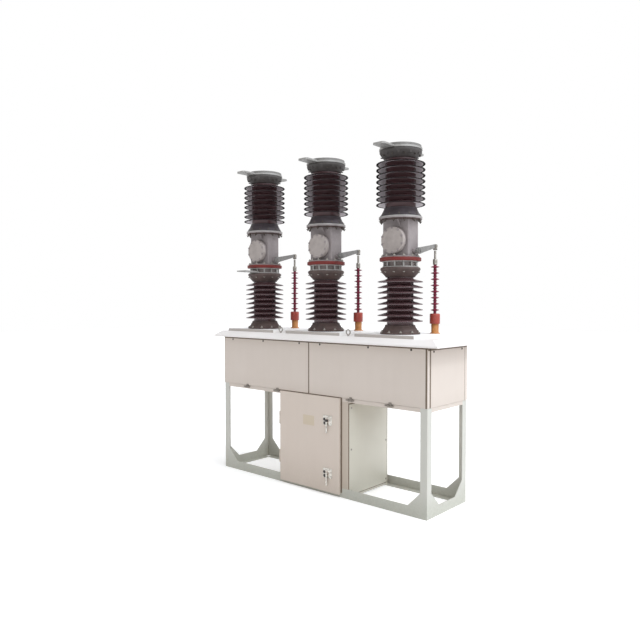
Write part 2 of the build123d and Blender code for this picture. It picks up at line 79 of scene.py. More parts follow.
# Mounting plates, box and its covers
PLATE_REACH = 0.310
SHORT_PLATE_REACH = 0.250
FRONT = -0.290
BACK = 0.290
RIGHT = 1.140
SHEET = 0.003
COVER_LOW = 0.822
COVER_HIGH = 1.262
EAVE = 1.270
MIDDLE_SEAM = -0.034
SEAL_PROUD = 0.0036
LATCHES = (-0.812, -0.413, 0.426, 0.812)
LATCH_FACE = 0.296
LATCH_LEVEL = 0.810

# Control cabinet and its door
CABINET_LEFT = -0.383
CABINET_RIGHT = 0.396
PANEL_PROUD = 0.004
DOORWAY_LEFT = -0.344
DOORWAY_RIGHT = 0.306
DOORWAY_FOOT = 0.096
DOORWAY_HEAD = 0.772
SEAL_WIDTH = 0.012
DOOR_FACE = -0.311
LOCK_X = 0.194
LOWER_LOCK = 0.180
UPPER_LOCK = 0.620


# materials

def paint(code):
    """An sRGB hex colour as the linear colour that a shader takes."""
    parts = [int(code[i:i + 2], 16) / 255 for i in (1, 3, 5)]
    return [c / 12.92 if c <= 0.04045 else ((c + 0.055) / 1.055) ** 2.4 for c in parts] + [1.0]


def add(tree, kind, settings=None, values=None, links=None):
    """Adds one node with its settings, its own values and what feeds it."""
    node = tree.nodes.new(kind)
    for name, value in (settings or {}).items():
        setattr(node, name, value)
    for socket, value in (values or {}).items():
        node.inputs[socket].default_value = value
    for socket, source in (links or {}).items():
        tree.links.new(source, node.inputs[socket])
    return node


def new_finish(name):
    """An empty material with its node tree, surface shader and object coordinates."""
    finish = bpy.data.materials.new(name)
    finish.use_nodes = True
    tree = finish.node_tree
    tree.nodes.clear()
    shader = add(tree, "ShaderNodeBsdfPrincipled")
    add(tree, "ShaderNodeOutputMaterial", links={"Surface": shader.outputs["BSDF"]})
    place = add(tree, "ShaderNodeTexCoord").outputs["Object"]
    return finish, tree, shader, place


def painted_steel(name, colour, worn, grime, roughness=0.42, low=0.0, high=0.3, grime_share=0.45,
                  edge=None):
    """Powder-coated sheet or bar: even satin paint with a fine orange peel, faded in wide patches, with
    road dust that thins out from a low level to a high one and faint rain marks down it. The front and
    rear faces of a plate may take a darker colour of their own, which is painted shade."""
    finish, tree, shader, place = new_finish(name)
    # Paint fades unevenly over patches some 350 mm wide
    patches = add(tree, "ShaderNodeTexNoise", values={"Scale": 2.8, "Detail": 4.0, "Roughness": 0.6},
                  links={"Vector": place})
    faded = add(tree, "ShaderNodeMix", {"data_type": "RGBA"}, {6: paint(colour), 7: paint(worn)},
                {0: patches.outputs["Fac"]})
    coat_colour = faded.outputs[2]
    # Faces turned to the front or rear take the edge colour: painted shade, as they face away from the key
    # light
    if edge:
        facing = add(tree, "ShaderNodeSeparateXYZ",
                     links={"Vector": add(tree, "ShaderNodeNewGeometry").outputs["Normal"]})
        facing = add(tree, "ShaderNodeMath", {"operation": "ABSOLUTE"}, None, {0: facing.outputs["Y"]})
        facing = add(tree, "ShaderNodeMapRange", values={"From Min": 0.9, "From Max": 0.5},
                     links={"Value": facing.outputs[0]})
        face_shaded = add(tree, "ShaderNodeMix", {"data_type": "RGBA"}, {6: paint(edge)},
                    {0: facing.outputs[0], 7: faded.outputs[2]})
        coat_colour = face_shaded.outputs[2]
    # Rain marks about 70 mm wide and over a metre long, barely darker than the paint
    tall = add(tree, "ShaderNodeMapping", values={"Scale": (14.0, 14.0, 0.8)}, links={"Vector": place})
    streaks = add(tree, "ShaderNodeTexNoise", values={"Scale": 1.0, "Detail": 2.0},
                  links={"Vector": tall.outputs[0]})
    streaks = add(tree, "ShaderNodeMapRange", values={"From Min": 0.45, "From Max": 0.9, "To Max": 0.06},
                  links={"Value": streaks.outputs["Fac"]})
    # Dust lies thickest at the low level, in specks some 20 mm wide
    height = add(tree, "ShaderNodeSeparateXYZ", links={"Vector": place})
    foot = add(tree, "ShaderNodeMapRange", {"interpolation_type": "SMOOTHSTEP"},
               {"From Min": low, "From Max": high, "To Min": grime_share, "To Max": 0.0},
               {"Value": height.outputs["Z"]})
    speckle = add(tree, "ShaderNodeTexNoise", values={"Scale": 55.0, "Detail": 5.0, "Roughness": 0.7},
                  links={"Vector": place})
    dust = add(tree, "ShaderNodeMath", {"operation": "MULTIPLY"}, None,
               {0: foot.outputs[0], 1: speckle.outputs["Fac"]})
    dust = add(tree, "ShaderNodeMath", {"operation": "ADD", "use_clamp": True}, None,
               {0: dust.outputs[0], 1: streaks.outputs[0]})
    shown = add(tree, "ShaderNodeMix", {"data_type": "RGBA"}, {7: paint(grime)},
                {0: dust.outputs[0], 6: coat_colour})
    tree.links.new(shown.outputs[2], shader.inputs["Base Color"])
    # Orange peel of the powder coat, 4 mm from crest to crest, and duller where dust lies
    peel = add(tree, "ShaderNodeTexNoise", values={"Scale": 250.0, "Detail": 2.0}, links={"Vector": place})
    bump = add(tree, "ShaderNodeBump", values={"Strength": 0.05, "Distance": 0.001},
               links={"Height": peel.outputs["Fac"]})
    tree.links.new(bump.outputs[0], shader.inputs["Normal"])
    dull = add(tree, "ShaderNodeMapRange", values={"To Min": roughness, "To Max": roughness + 0.3},
               links={"Value": dust.outputs[0]})
    tree.links.new(dull.outputs[0], shader.inputs["Roughness"])
    shader.inputs["IOR"].default_value = 1.5
    return finish


def glazed_porcelain(name, colour, dusty, underside_painted_light, polish=0.35):
    """Brown salt-glazed porcelain: a deep glossy brown, dusty grey on top of the sheds, and duller below
    them, where rain doesn't wash. Below the sheds the colour turns pale: painted light, standing for the
    bright ground that the undersides reflect."""
    finish, tree, shader, place = new_finish(name)
    # Dust lies in clouds some 120 mm wide, thin enough for the glaze to shine through
    cloud = add(tree, "ShaderNodeTexNoise", values={"Scale": 8.0, "Detail": 2.0}, links={"Vector": place})
    slope = add(tree, "ShaderNodeSeparateXYZ",
                links={"Vector": add(tree, "ShaderNodeNewGeometry").outputs["Normal"]})
    upper = add(tree, "ShaderNodeMapRange", values={"From Min": 0.9, "From Max": 0.96, "To Max": 0.4},
                links={"Value": slope.outputs["Z"]})
    upper = add(tree, "ShaderNodeMath", {"operation": "MULTIPLY"}, None,
                {0: upper.outputs[0], 1: cloud.outputs["Fac"]})
    # Faces pointing down take the pale underside colour, which is painted reflected light
    lower = add(tree, "ShaderNodeMapRange", values={"From Min": -0.9, "From Max": -0.96, "To Max": 0.9},
                links={"Value": slope.outputs["Z"]})
    glaze = add(tree, "ShaderNodeMix", {"data_type": "RGBA"}, {6: paint(colour), 7: paint(dusty)},
                {0: upper.outputs[0]})
    glaze = add(tree, "ShaderNodeMix", {"data_type": "RGBA"}, {7: paint(underside_painted_light)},
                {0: lower.outputs[0], 6: glaze.outputs[2]})
    tree.links.new(glaze.outputs[2], shader.inputs["Base Color"])
    gloss = add(tree, "ShaderNodeMapRange", values={"To Min": 0.10, "To Max": 0.24},
                links={"Value": cloud.outputs["Fac"]})
    dull = add(tree, "ShaderNodeMath", {"operation": "ADD", "use_clamp": True}, None,
               {0: gloss.outputs[0], 1: lower.outputs[0]})
    tree.links.new(dull.outputs[0], shader.inputs["Roughness"])
    # Below the sheds the unwashed glaze has lost most of its shine
    shine = add(tree, "ShaderNodeMapRange", values={"From Max": 0.9, "To Min": polish, "To Max": 0.1},
                links={"Value": lower.outputs[0]})
    tree.links.new(shine.outputs[0], shader.inputs["Specular IOR Level"])
    # The glaze pools in very low waves about 40 mm apart
    ripple = add(tree, "ShaderNodeTexNoise", values={"Scale": 25.0, "Detail": 1.0}, links={"Vector": place})
    bump = add(tree, "ShaderNodeBump", values={"Strength": 0.05, "Distance": 0.001},
               links={"Height": ripple.outputs["Fac"]})
    tree.links.new(bump.outputs[0], shader.inputs["Normal"])
    shader.inputs["IOR"].default_value = 1.55
    return finish


def sand_casting(name, colour, dark, roughness, metallic=0.0, grain=420.0, strength=0.35):
    """Sand-cast metal, bare or painted: the skin keeps the grain of the mould, with darker dirt in
    patches a hand wide."""
    finish, tree, shader, place = new_finish(name)
    patches = add(tree, "ShaderNodeTexNoise", values={"Scale": 11.0, "Detail": 6.0, "Roughness": 0.7},
                  links={"Vector": place})
    share = add(tree, "ShaderNodeMapRange", values={"From Min": 0.38, "From Max": 0.72},
                links={"Value": patches.outputs["Fac"]})
    shown = add(tree, "ShaderNodeMix", {"data_type": "RGBA"}, {6: paint(colour), 7: paint(dark)},
                {0: share.outputs[0]})
    tree.links.new(shown.outputs[2], shader.inputs["Base Color"])
    # Mould grain of 1 to 3 mm, drawn a little coarse so that it shows
    sand = add(tree, "ShaderNodeTexNoise", values={"Scale": grain, "Detail": 3.0}, links={"Vector": place})
    bump = add(tree, "ShaderNodeBump", values={"Strength": strength, "Distance": 0.001},
               links={"Height": sand.outputs["Fac"]})
    tree.links.new(bump.outputs[0], shader.inputs["Normal"])
    dull = add(tree, "ShaderNodeMapRange", values={"To Min": roughness - 0.1, "To Max": roughness + 0.1},
               links={"Value": patches.outputs["Fac"]})
    tree.links.new(dull.outputs[0], shader.inputs["Roughness"])
    shader.inputs["Metallic"].default_value = metallic
    return finish


def moulded_resin(name, colour, faded, roughness, ior=1.5):
    """Resin, rubber or thick paint with a moulded skin: even colour, chalky where the sun has bleached
    it."""
    finish, tree, shader, place = new_finish(name)
    # Bleached spots some 30 mm wide
    bleach = add(tree, "ShaderNodeTexNoise", values={"Scale": 30.0, "Detail": 4.0}, links={"Vector": place})
    share = add(tree, "ShaderNodeMapRange", values={"From Min": 0.4, "From Max": 0.75},
                links={"Value": bleach.outputs["Fac"]})
    shown = add(tree, "ShaderNodeMix", {"data_type": "RGBA"}, {6: paint(colour), 7: paint(faded)},
                {0: share.outputs[0]})
    tree.links.new(shown.outputs[2], shader.inputs["Base Color"])
    # Skin of the mould, 3 mm from crest to crest
    skin = add(tree, "ShaderNodeTexNoise", values={"Scale": 300.0}, links={"Vector": place})
    bump = add(tree, "ShaderNodeBump", values={"Strength": 0.12, "Distance": 0.0005},
               links={"Height": skin.outputs["Fac"]})
    tree.links.new(bump.outputs[0], shader.inputs["Normal"])
    shader.inputs["Roughness"].default_value = roughness
    shader.inputs["IOR"].default_value = ior
    return finish


def plated_metal(name, colour, tarnish, roughness):
    """Zinc or nickel plating: a grey metal gloss that clouds over in spots the width of a finger."""
    finish, tree, shader, place = new_finish(name)
    spots = add(tree, "ShaderNodeTexNoise", values={"Scale": 60.0, "Detail": 5.0, "Roughness": 0.7},
                links={"Vector": place})
    share = add(tree, "ShaderNodeMapRange", values={"From Min": 0.42, "From Max": 0.7},
                links={"Value": spots.outputs["Fac"]})
    shown = add(tree, "ShaderNodeMix", {"data_type": "RGBA"}, {6: paint(colour), 7: paint(tarnish)},
                {0: share.outputs[0]})
    tree.links.new(shown.outputs[2], shader.inputs["Base Color"])
    dull = add(tree, "ShaderNodeMapRange", values={"To Min": roughness - 0.08, "To Max": roughness + 0.15},
               links={"Value": spots.outputs["Fac"]})
    tree.links.new(dull.outputs[0], shader.inputs["Roughness"])
    # Scratches 2 mm long, drawn coarser than they are so that they show
    scratches = add(tree, "ShaderNodeTexNoise", values={"Scale": 500.0, "Detail": 2.0},
                    links={"Vector": place})
    bump = add(tree, "ShaderNodeBump", values={"Strength": 0.1, "Distance": 0.0004},
               links={"Height": scratches.outputs["Fac"]})
    tree.links.new(bump.outputs[0], shader.inputs["Normal"])
    shader.inputs["Metallic"].default_value = 0.85
    return finish


cover_paint = painted_steel("pebble_grey_powder_coat", "#DACEC4", "#D3C6BB", "#B5A898", low=0.80, high=0.95,
                            grime_share=0.25)
cabinet_paint = painted_steel("cabinet_powder_coat", "#DBCDC1", "#D4C5B8", "#A99F90", high=0.35)
doorway_paint = painted_steel("doorway_frame_paint", "#C9BBAD", "#C1B3A4", "#98907F", high=0.35)
cabinet_side_paint = painted_steel("cabinet_side_powder_coat", "#D8D3C5", "#CFCABC", "#9FA091")
# The roof comes out darker on its eave slopes, below 1.30 m, than on its deck
roof_paint = painted_steel("roof_powder_coat", "#F8F3F0", "#F1EBE7", "#D9D1C8", low=1.26, high=1.30,
                           grime_share=0.3)
# The grey on the plates' front and rear faces is painted shade
pad_paint = painted_steel("pad_paint", "#F8F6F4", "#F2EFEC", "#DAD4CE", low=1.32, high=1.33,
                          grime_share=0.2, edge="#B5ACA6")
stand_paint = painted_steel("stand_paint", "#D0CEC6", "#C6C4BB", "#9C9E8D", roughness=0.5, high=0.25,
                            grime_share=0.75)
bare_plate = painted_steel("bare_cream_plate", "#D5C5AF", "#CDBDA6", "#BBA990", low=0.5, high=0.66,
                           grime_share=0.2)
porcelain = glazed_porcelain("brown_glazed_porcelain", "#4A3133", "#604D4E", "#F4EDF0")
# Near-black glaze for the shed rims: painted shade, standing for the dark surroundings the glaze reflects
rim_painted_shade = glazed_porcelain("shed_rim_painted_shade", "#1A1214", "#241B1D", "#1A1214", polish=0.08)
dark_casting = sand_casting("weathered_iron_casting", "#56443F", "#3D302D", 0.6)
plum_casting = sand_casting("weathered_plum_casting", "#3F363B", "#2D2629", 0.5)
top_casting = sand_casting("weathered_top_casting", "#4C4745", "#36322F", 0.6)
housing_casting = sand_casting("painted_aluminium_casting", "#99908F", "#867D7D", 0.5)
neck_casting = sand_casting("grey_neck_casting", "#7F7471", "#6B615E", 0.55)
machined_plate = sand_casting("machined_aluminium_plate", "#A9A7A4", "#8E8B87", 0.45, metallic=0.35,
                              grain=700.0, strength=0.12)
cover_casting = sand_casting("cover_plate_casting", "#B0A6A1", "#9B918C", 0.42, grain=600.0, strength=0.15)
crank_paint = sand_casting("crank_grey_paint", "#8A8784", "#72706D", 0.5)
red_resin = moulded_resin("red_laminate_ring", "#6E120A", "#641D15", 0.6)
hood_resin = moulded_resin("red_hood_moulding", "#A84234", "#964238", 0.42)
silicone = moulded_resin("dark_red_silicone", "#7A2039", "#863A4C", 0.38, ior=1.41)
tube_paint = moulded_resin("yellow_painted_tube", "#C18246", "#B0743E", 0.5)
# Black rubber for seals, also used for strips that are painted shadow
rubber = moulded_resin("black_seal_rubber_and_painted_shadow", "#6E5F50", "#786959", 0.7)
lock_black = moulded_resin("black_lock_plastic", "#26201E", "#332C29", 0.4)
# Latch plating darker than the bare metal: its own tone, and partly painted shade that falls under the
# latches
latch_plating = plated_metal("latch_plating_with_painted_shade", "#8D867E", "#5C554E", 0.45)
zinc = plated_metal("zinc_plating", "#A8A39C", "#7B756D", 0.42)
dark_zinc = plated_metal("blackened_screws", "#625C56", "#47423D", 0.5)
nickel = plated_metal("nickel_plating", "#D8D4CC", "#8C857C", 0.25)


# making pieces

TO_FRONT = Matrix.Rotation(math.radians(90), 4, "X")
TO_RIGHT = Matrix.Rotation(math.radians(90), 4, "Y")
UPWARD = Matrix.Identity(4)
DOWNWARD = Matrix.Rotation(math.radians(180), 4, "X")


def at(x, y, z):
    """The move from the origin to a place."""
    return Matrix.Translation((x, y, z))


def deselect():
    """Leaves nothing selected, so that an operator acts only on what is made next."""
    bpy.ops.object.select_all(action="DESELECT")


def current(name):
    """Names the piece that was just added."""
    piece = bpy.context.active_object
    piece.name = name
    piece.data.name = name
    return piece


def edit(pick="SELECT"):
    """Opens the current piece for mesh work, all of it selected or none."""
    bpy.ops.object.mode_set(mode="EDIT")
    bpy.ops.mesh.select_mode(type="VERT")
    bpy.ops.mesh.select_all(action=pick)


def pick(piece, kind, wanted):
    """Opens the current piece for mesh work with only its wanted polygons or vertices selected."""
    edit("DESELECT")
    bpy.ops.object.mode_set(mode="OBJECT")
    for part in getattr(piece.data, kind):
        part.select = wanted(part)
    bpy.ops.object.mode_set(mode="EDIT")
    bpy.ops.mesh.select_mode(type="FACE" if kind == "polygons" else "VERT")


def looks_up(face):
    """Whether a face points up."""
    return face.normal.z > 0.9


def looks_down(face):
    """Whether a face points down."""
    return face.normal.z < -0.9


def close(smooth=35):
    """Ends mesh work: merges doubles, turns faces outwards and smooths the edges under so many degrees."""
    bpy.ops.mesh.select_all(action="SELECT")
    bpy.ops.mesh.remove_doubles(threshold=0.00002)
    bpy.ops.mesh.normals_make_consistent(inside=False)
    bpy.ops.object.mode_set(mode="OBJECT")
    bpy.ops.object.shade_smooth_by_angle(angle=math.radians(smooth))


def settle(piece):
    """Puts the piece's place and turn into its mesh."""
    deselect()
    bpy.context.view_layer.objects.active = piece
    piece.select_set(True)
    bpy.ops.object.transform_apply(location=True, rotation=True, scale=True)


def round_edges(piece, width, segments=2):
    """Breaks the piece's sharp edges by a small radius."""
    deselect()
    bpy.context.view_layer.objects.active = piece
    piece.select_set(True)
    bevel = piece.modifiers.new("broken_edges", "BEVEL")
    bevel.width = width
    bevel.segments = segments
    bevel.limit_method = "ANGLE"
    bevel.angle_limit = math.radians(40)
    bpy.ops.object.modifier_apply(modifier=bevel.name)
    bpy.ops.object.shade_smooth_by_angle(angle=math.radians(35))
    return piece


def finished(piece, finish, body):
    """Gives the piece its finish and the body it moves with."""
    piece.data.materials.clear()
    piece.data.materials.append(finish)
    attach(piece, body)


def turned(name, outline, steps=72):
    """Turns an outline of (radius, height) points round the vertical line through the origin."""
    deselect()
    bpy.ops.mesh.primitive_plane_add(size=0.001, location=(0, 0, 0))
    piece = current(name)
    edit()
    bpy.ops.mesh.merge(type="CENTER")
    bpy.ops.transform.translate(value=(outline[0][0], 0, outline[0][1]))
    for (r0, z0), (r1, z1) in zip(outline, outline[1:]):
        bpy.ops.mesh.extrude_region_move(TRANSFORM_OT_translate={"value": (r1 - r0, 0, z1 - z0)})
    bpy.ops.mesh.select_all(action="SELECT")
    bpy.ops.mesh.spin(steps=steps, angle=2 * math.pi, center=(0, 0, 0), axis=(0, 0, 1))
    close()
    return piece


def plate(name, low, high, edge=0.0015, segments=2):
    """A flat bar or sheet between two corners, with its edges broken."""
    deselect()
    bpy.ops.mesh.primitive_cube_add(size=1, location=(0, 0, 0))
    piece = current(name)
    piece.scale = [b - a for a, b in zip(low, high)]
    piece.location = [(a + b) / 2 for a, b in zip(low, high)]
    settle(piece)
    return round_edges(piece, edge, segments)


def moved(piece, matrix):
    """Moves the piece's mesh."""
    piece.data.transform(matrix)
    return piece


def copied(piece, name, matrix):
    """A copy of the piece with its own mesh, moved by a matrix."""
    other = piece.copy()
    other.data = piece.data.copy()
    other.name = name
    other.data.name = name
    bpy.context.scene.collection.objects.link(other)
    return moved(other, matrix)


def joined(pieces, name):
    """Makes one piece of several."""
    deselect()
    for piece in pieces:
        piece.select_set(True)
    bpy.context.view_layer.objects.active = pieces[0]
    bpy.ops.object.join()
    return current(name)


def dropped(piece):
    """Takes away a pattern piece once its copies are made."""
    bpy.data.objects.remove(piece)


def hex_bolt(name, across, head, shank_end=0.0):
    """A hexagon bolt head on its washer, pointing up from the origin, with its top edge chamfered. As a
    nut it has the shank's end standing out of it."""
    washer = 0.0025
    deselect()
    radius = across / math.sqrt(3)
    bpy.ops.mesh.primitive_cylinder_add(vertices=6, radius=radius, depth=head,
                                        location=(0, 0, head / 2 + washer * 0.6))
    piece = current(name)
    pick(piece, "polygons", looks_up)
    bpy.ops.mesh.inset(thickness=radius * 0.12, depth=0)
    bpy.ops.transform.translate(value=(0, 0, head * 0.12))
    if shank_end > 0:
        bpy.ops.mesh.inset(thickness=radius * 0.32, depth=0)
        bpy.ops.mesh.extrude_region_move(TRANSFORM_OT_translate={"value": (0, 0, shank_end)})
    close(25)
    settle(piece)
    deselect()
    bpy.ops.mesh.primitive_cylinder_add(vertices=20, radius=across * 0.95, depth=washer,
                                        location=(0, 0, washer / 2))
    ring = current(name + "_washer")
    pick(ring, "polygons", looks_up)
    bpy.ops.mesh.inset(thickness=across * 0.08, depth=0)
    bpy.ops.transform.translate(value=(0, 0, 0.0006))
    close(25)
    settle(ring)
    return joined([piece, ring], name)


def at_poles(pattern, name, finish, body="stand", stands_for=None):
    """Copies a piece made round the origin's pole to the three poles, and lets the copies stand for a CAD
    node. The pole's letter fills the braces in the names of body and node."""
    for letter, x in POLES.items():
        piece = copied(pattern, f"{name}_{letter}", at(x, 0, 0))
        finished(piece, finish, body.format(letter))
        if stands_for:
            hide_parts(stands_for.format(letter))
    dropped(pattern)


def pole_turning(name, outline, level, finish, stands_for=None):
    """A turned piece round each pole's centre line."""
    at_poles(moved(turned(name, outline), at(0, POLE_Y, level)), name, finish, stands_for=stands_for)


def pole_circle(pattern, name, level, radius, count, start, finish, face=UPWARD, y=POLE_Y):
    """Copies a pattern piece round a circle on each pole, the first copy at a start angle in degrees."""
    copies = []
    for i in range(count):
        around = Matrix.Rotation(math.radians(start + 360 * i / count), 4, "Z")
        copies.append(copied(pattern, f"{name}_{i}", at(0, y, level) @ face @ around @ at(radius, 0, 0)))
    at_poles(joined(copies, name), name, finish)


def coat(finish, *nodes):
    """Gives CAD nodes a finish."""
    for node in nodes:
        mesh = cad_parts[node].data
        mesh.materials.clear()
        mesh.materials.append(finish)


# CAD pieces that only take a finish

coat(stand_paint, "leg_front_left", "leg_front_right", "leg_rear_left", "leg_rear_right",
     "base_rail_front", "base_rail_rear", "base_rail_left", "base_rail_right", "corner_gussets")
coat(cover_paint, "front_cover_left", "front_cover_right", "rear_cover_left", "rear_cover_right",
     "end_cover_left", "end_cover_right", "box_floor_pan")
coat(cabinet_paint, "cabinet_door", "cabinet_back_wall")
coat(doorway_paint, "cabinet_front_frame")
coat(cabinet_side_paint, "cabinet_left_wall", "cabinet_right_wall", "cabinet_floor", "cabinet_roof")
coat(roof_paint, "top_cover", "head_beam_front", "head_beam_rear")
coat(zinc, "lifting_eyes_front", "lifting_eyes_rear")
coat(latch_plating, "cover_latches")
coat(nickel, "lock_handle_lower", "lock_handle_upper")
coat(housing_casting, "crank_housing_a", "crank_housing_b", "crank_housing_c")
coat(machined_plate, "terminal_plates", "pole_necks", "lower_terminal_a")
coat(crank_paint, "crank_a", "crank_b", "crank_c")


# mounting plates on the deck, the last one shorter at its crank end

for letter, reach in (("a", PLATE_REACH), ("b", PLATE_REACH), ("c", SHORT_PLATE_REACH)):
    pad = plate(f"mounting_plate_{letter}", (POLES[letter] - PLATE_REACH, FRONT, PLATE_FOOT),
                (POLES[letter] + reach, BACK, PLATE_TOP), 0.002)
    finished(pad, pad_paint, "stand")
    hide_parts("mounting_pads")


# porcelain columns

def shed_outline(core, tip, first, pitch, height, root):
    """Outline of a column with eight drooping sheds, each with a fillet at its root and a round tip. The
    core ends in a short flare at either end."""
    flare = 0.005
    points = [(0, 0), (root - 0.002, 0), (root, 0.002), (root - 0.003, flare * 0.6), (core, flare)]
    for i in range(8):
        z = first + i * pitch
        # The underside runs out from the core
        points += [(core, z + 0.0080), (core + 0.0008, z + 0.0100), (core + 0.0030, z + 0.0108),
                   (core + 0.0070, z + 0.0101), (tip - 0.0165, z - 0.0010), (tip - 0.0100, z - 0.0024)]
        # The tip
        points += [(tip - 0.0045, z - 0.0039), (tip - 0.0018, z - 0.0034), (tip - 0.0003, z - 0.0018),
                   (tip, z), (tip - 0.0006, z + 0.0019), (tip - 0.0022, z + 0.0035),
                   (tip - 0.0060, z + 0.0050)]
        # The top runs back to the core
        points += [(core + 0.0085, z + 0.0214), (core + 0.0030, z + 0.0236), (core + 0.0007, z + 0.0254),
                   (core, z + 0.0268)]
    return points + [(core, height - flare), (root - 0.003, height - flare * 0.6), (root, height - 0.002),
                     (root - 0.002, height), (0, height)]


def glazed_columns(node, outline, level, painted_shade_rims):
    """Porcelain columns at the three poles. The sheds may have near-black rims, which are painted shade,
    against their painted-light undersides.
    """
    pattern = turned("porcelain_pattern", outline)
    for letter, x in POLES.items():
        column = copied(pattern, f"glazed_{node}_{letter}", at(x, POLE_Y, level))
        finished(column, porcelain, "stand")
        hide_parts(f"{node}_{letter}")
        # Faces out at the rims that don't point up take the near-black glaze, which is painted shade
        if painted_shade_rims:
            column.data.materials.append(rim_painted_shade)
            for face in column.data.polygons:
                out = math.hypot(face.center.x - x, face.center.y - POLE_Y)
                if out > RIM_START and not looks_up(face):
                    face.material_index = 1
    dropped(pattern)


glazed_columns("lower_insulator", shed_outline(0.104, 0.178, 0.031, 0.0439, LOWER_HEIGHT, 0.110),
               LOWER_PORCELAIN, False)
glazed_columns("upper_insulator", shed_outline(0.119, 0.192, 0.027, 0.0449, UPPER_HEIGHT, 0.124),
               UPPER_PORCELAIN, True)


# pole castings

pole_turning("foot_casting",
             [(0, 0), (0.155, 0), (0.157, 0.002), (0.157, 0.011), (0.155, 0.0135), (0.149, 0.0165),
              (0.1445, 0.020), (0.136, 0.034), (0.1235, 0.054), (0.1195, 0.061), (0.118, 0.064),
              (0.118, FOOT_HEIGHT - 0.0015), (0.1165, FOOT_HEIGHT), (0, FOOT_HEIGHT)],
             PLATE_TOP, dark_casting, "pole_base_flanges")
pole_turning("middle_casting",
             [(0, 0), (0.1145, 0), (0.116, 0.0015), (0.117, 0.005), (0.139, 0.0285), (0.150, 0.048),
              (0.1555, 0.055), (0.157, 0.058), (0.157, 0.0665), (0.155, 0.069), (0.150, MIDDLE_HEIGHT),
              (0, MIDDLE_HEIGHT)],
             MIDDLE_FLANGE, dark_casting, "pole_middle_flanges")
pole_turning("upper_foot_casting",
             [(0, 0), (0.158, 0), (0.160, 0.002), (0.160, 0.007), (0.1575, 0.0105), (0.150, 0.018),
              (0.1315, 0.057), (0.129, 0.062), (0.129, CONE_HEIGHT - 0.0015), (0.1275, CONE_HEIGHT),
              (0, CONE_HEIGHT)],
             UPPER_CONE, plum_casting, "upper_cones")
pole_turning("top_casting",
             [(0, 0), (0.1275, 0), (0.129, 0.0015), (0.131, 0.005), (0.1600, 0.043), (0.1640, 0.048),
              (0.165, 0.051), (0.165, 0.0655), (0.1635, TOP_HEIGHT), (0, TOP_HEIGHT)],
             TOP_FLANGE, top_casting, "top_flanges")
pole_turning("laminate_ring",
             [(0, 0), (0.1585, 0), (0.1615, 0.0012), (0.163, 0.004), (0.163, 0.024), (0.1615, 0.0268),
              (0.1585, RING_HEIGHT), (0, RING_HEIGHT)],
             RED_RING, red_resin, "red_rings")

# Turned bands round the edge of the top disc, the drum of the neck and the housing's flange
pole_turning("top_disc_rim", [(0.1585, 0.0142), (0.1604, 0.0150), (0.1604, 0.0325), (0.1585, 0.0339)],
             TOP_DISC, crank_paint)
pole_turning("neck_drum", [(0.1190, 0.0082), (0.1202, 0.0095), (0.1202, 0.0395), (0.1190, 0.0408)], NECK,
             neck_casting)
pole_turning("housing_flange_rim", [(0.1680, 0.0085), (0.1694, 0.0095), (0.1694, 0.0172), (0.1680, 0.0182)],
             HOUSING_FLANGE, machined_plate)
# The dark ring just under the housing's flange is painted shadow of the flange
pole_turning("housing_flange_shadow_ring", [(0.140, -0.0120), (0.1515, -0.0112), (0.1530, -0.0095), (0.1530, 0)],
             HOUSING_FLANGE, dark_casting)

# Round inspection cover: a deep cap with a dished middle and a raised rim
cover = turned("inspection_cover",
               [(0, 0.0328), (0.066, 0.0328), (0.071, 0.0322), (0.079, 0.0322), (0.084, 0.0336),
                (0.087, 0.0340), (0.0985, COVER_DEPTH), (0.1020, 0.0325), (0.1035, 0.0290),
                (0.1035, 0.0080), (0.1022, 0.0070), (0.1022, 0.0040), (0.1035, 0.0030), (0.1035, 0), (0, 0)])
moved(cover, at(0, COVER_BACK, COVER_CENTRE) @ TO_FRONT)
at_poles(cover, "inspection_cover", cover_casting, stands_for="housing_covers")


def lug(name, width, height, reach):
    """A cast lug under a flange: a block drawn in towards its foot."""
    deselect()
    bpy.ops.mesh.primitive_cube_add(size=1, location=(0, 0, 0))
    piece = current(name)
    piece.scale = (reach, width, height)
    settle(piece)
    pick(piece, "polygons", looks_down)
    bpy.ops.transform.resize(value=(0.4, 0.75, 1))
    bpy.ops.transform.translate(value=(-reach * 0.3, 0, 0))
    close()
    return round_edges(piece, 0.0018)


# Bolts and lugs of the pole joints
small_bolt = hex_bolt("small_bolt", 0.010, 0.0055)
joint_bolt = hex_bolt("joint_bolt", 0.014, 0.008, 0.005)
top_lug = lug("top_lug", 0.024, 0.026, 0.016)
middle_lug = lug("middle_lug", 0.026, 0.022, 0.016)
pole_circle(small_bolt, "inspection_cover_bolts", COVER_CENTRE, 0.095, 10, 18, housing_casting,
            TO_FRONT, COVER_BACK - COVER_DEPTH)
pole_circle(joint_bolt, "foot_bolts", PLATE_TOP + 0.0135, 0.149, 10, 18, zinc)
pole_circle(joint_bolt, "housing_flange_bolts", HOUSING_FLANGE - 0.014, 0.158, 12, 15, dark_zinc,
            DOWNWARD)
pole_circle(joint_bolt, "upper_foot_bolts", UPPER_CONE + 0.0105, 0.147, 12, 0, dark_zinc)
pole_circle(joint_bolt, "housing_foot_bolts", HOUSING + 0.009, 0.141, 12, 15, zinc)
pole_circle(top_lug, "top_casting_lugs", TOP_FLANGE + 0.037, 0.157, 10, 9, top_casting)
pole_circle(small_bolt, "top_lug_bolts", TOP_FLANGE + 0.0245, 0.151, 10, 9, dark_zinc, DOWNWARD)
pole_circle(middle_lug, "middle_casting_lugs", MIDDLE_FLANGE + 0.052, 0.148, 12, 15, dark_casting)
pole_circle(middle_lug, "housing_flange_lugs", HOUSING_FLANGE - 0.007, 0.158, 12, 15, dark_casting)
pole_circle(small_bolt, "middle_lug_bolts", MIDDLE_FLANGE + 0.041, 0.149, 12, 15, zinc, DOWNWARD)
